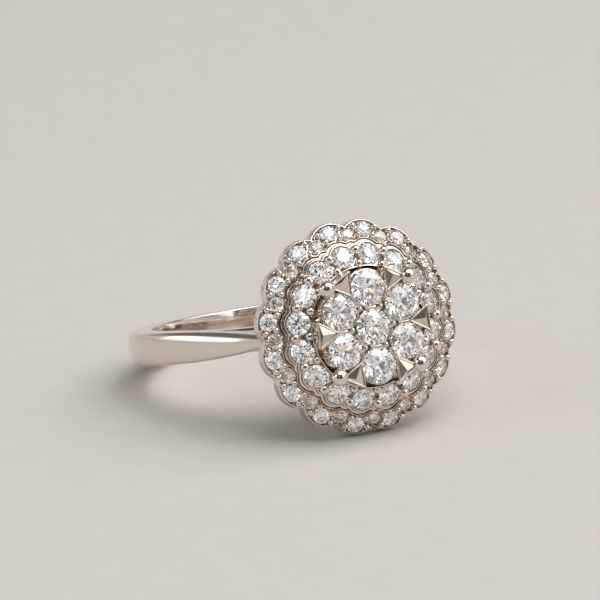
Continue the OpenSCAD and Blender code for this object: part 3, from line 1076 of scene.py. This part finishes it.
make(shank(), "shank", RING, BAND_SHARP)
make(shoulders(), "shoulders", RING, BAND_SHARP)
make(outer_halo(), "outer_halo")
make(inner_halo(), "inner_halo")
make(head_back(), "head_back")
make(cluster_seat(), "cluster_seat")
make(vee_claws(), "vee_claws")
make(vee_facets(), "vee_facets", HEAD, FACET_SHARP)
make(ball_claws(), "ball_claws")
make(inner_beads(), "inner_beads")
make(outer_beads(), "outer_beads")
make(posts(), "posts")

for name, node in frame["nodes"].items():
    if name != "ring_setting":
        node.data.materials.clear()
        node.data.materials.append(STONE)


# Floor, light and camera


def floor():
    """Wide level sheet under the ring, at height 0."""
    mesh = bpy.data.meshes.new("floor")
    r = FLOOR_REACH
    mesh.from_pydata([(-r, -r, 0), (r, -r, 0), (r, r, 0), (-r, r, 0)], [], [(0, 1, 2, 3)])
    mesh.materials.append(paper())
    piece = bpy.data.objects.new("floor", mesh)
    bpy.context.scene.collection.objects.link(piece)


def towards(azimuth, elevation):
    """Direction at an azimuth, counted to the right from the camera's side, and an elevation."""
    a, e = math.radians(-CAM_AROUND + azimuth), math.radians(elevation)
    return Vector((math.cos(e) * math.cos(a), math.cos(e) * math.sin(a), math.sin(e)))


def panel(name, azimuth, elevation, distance, size, radiance, colour):
    """Soft light that looks at the ring."""
    light = bpy.data.lights.new(name, "AREA")
    light.shape = "RECTANGLE"
    light.size, light.size_y = size
    light.energy = radiance * math.pi * size[0] * size[1]
    light.color = colour
    lamp = bpy.data.objects.new(name, light)
    d = towards(azimuth, elevation)
    lamp.matrix_world = Matrix.Translation(d * distance) @ d.to_track_quat("Z", "Y").to_matrix().to_4x4()
    lamp.visible_camera = False
    bpy.context.scene.collection.objects.link(lamp)
    return lamp


def lights():
    """The key lights the floor and the metal, and the stone panels show only inside the stones."""
    panel(*KEY).visible_transmission = False
    for setting in PANELS:
        panel(*setting)
    for setting in STONE_PANELS:
        lamp = panel(*setting)
        lamp.visible_glossy = False
        lamp.visible_diffuse = False


def camera():
    """Camera that stands where the photograph was taken from."""
    e, a, roll = (math.radians(v) for v in (CAM_ELEVATION, CAM_AROUND, CAM_ROLL))
    away = Vector((math.cos(e) * math.cos(a), -math.cos(e) * math.sin(a), math.sin(e)))
    right = Vector((math.sin(a), math.cos(a), 0))
    up = right.cross(-away)
    x = right * math.cos(roll) + up * math.sin(roll)
    y = up * math.cos(roll) - right * math.sin(roll)
    target = RING @ Vector((OUTER_H * MM, 0, 0))
    spot = target + (away * CAM_DISTANCE + x * CAM_SIDE + y * CAM_UP) * MM
    data = bpy.data.cameras.new("camera")
    data.sensor_width = SENSOR_W
    data.lens = FOCAL_PX / FRAME_PX * data.sensor_width
    data.clip_start = NEAREST
    data.clip_end = FURTHEST
    lens = bpy.data.objects.new("camera", data)
    lens.matrix_world = Matrix.Translation(spot) @ Matrix((x, y, away)).transposed().to_4x4()
    bpy.context.scene.collection.objects.link(lens)
    bpy.context.scene.camera = lens


def world():
    """Pale surroundings near the horizon, like the floor running on, a dim ceiling and a dark front."""
    scene = bpy.context.scene
    scene.world = bpy.data.worlds.new("studio")
    scene.world.use_nodes = True
    nodes = scene.world.node_tree.nodes
    links = scene.world.node_tree.links
    back = nodes["Background"]
    place = nodes.new("ShaderNodeTexCoord")
    height = nodes.new("ShaderNodeSeparateXYZ")
    links.new(place.outputs["Generated"], height.inputs["Vector"])
    ramp = nodes.new("ShaderNodeValToRGB")
    low, high = ramp.color_ramp.elements
    low.position, low.color = HORIZON_TOP, HORIZON_COLOUR
    high.position, high.color = CEILING_FROM, CEILING_COLOUR
    links.new(height.outputs["Z"], ramp.inputs["Fac"])
    ahead = nodes.new("ShaderNodeVectorMath")
    ahead.operation = "DOT_PRODUCT"
    ahead.inputs[1].default_value = towards(0, FRONT_ELEVATION)
    links.new(place.outputs["Generated"], ahead.inputs[0])
    share = nodes.new("ShaderNodeMapRange")
    share.inputs["From Min"].default_value, share.inputs["From Max"].default_value = FRONT_SPREAD
    links.new(ahead.outputs["Value"], share.inputs["Value"])
    mix = nodes.new("ShaderNodeMix")
    mix.data_type = "RGBA"
    mix.inputs["B"].default_value = FRONT_COLOUR
    links.new(share.outputs["Result"], mix.inputs["Factor"])
    links.new(ramp.outputs["Color"], mix.inputs["A"])
    links.new(mix.outputs["Result"], back.inputs["Color"])


floor()
world()
lights()
camera()
bpy.context.scene.view_settings.view_transform = "Standard"
cycles = bpy.context.scene.cycles
cycles.use_denoising = True
cycles.max_bounces = STONE_BOUNCES
cycles.glossy_bounces = GLOSSY_BOUNCES
cycles.transmission_bounces = STONE_BOUNCES
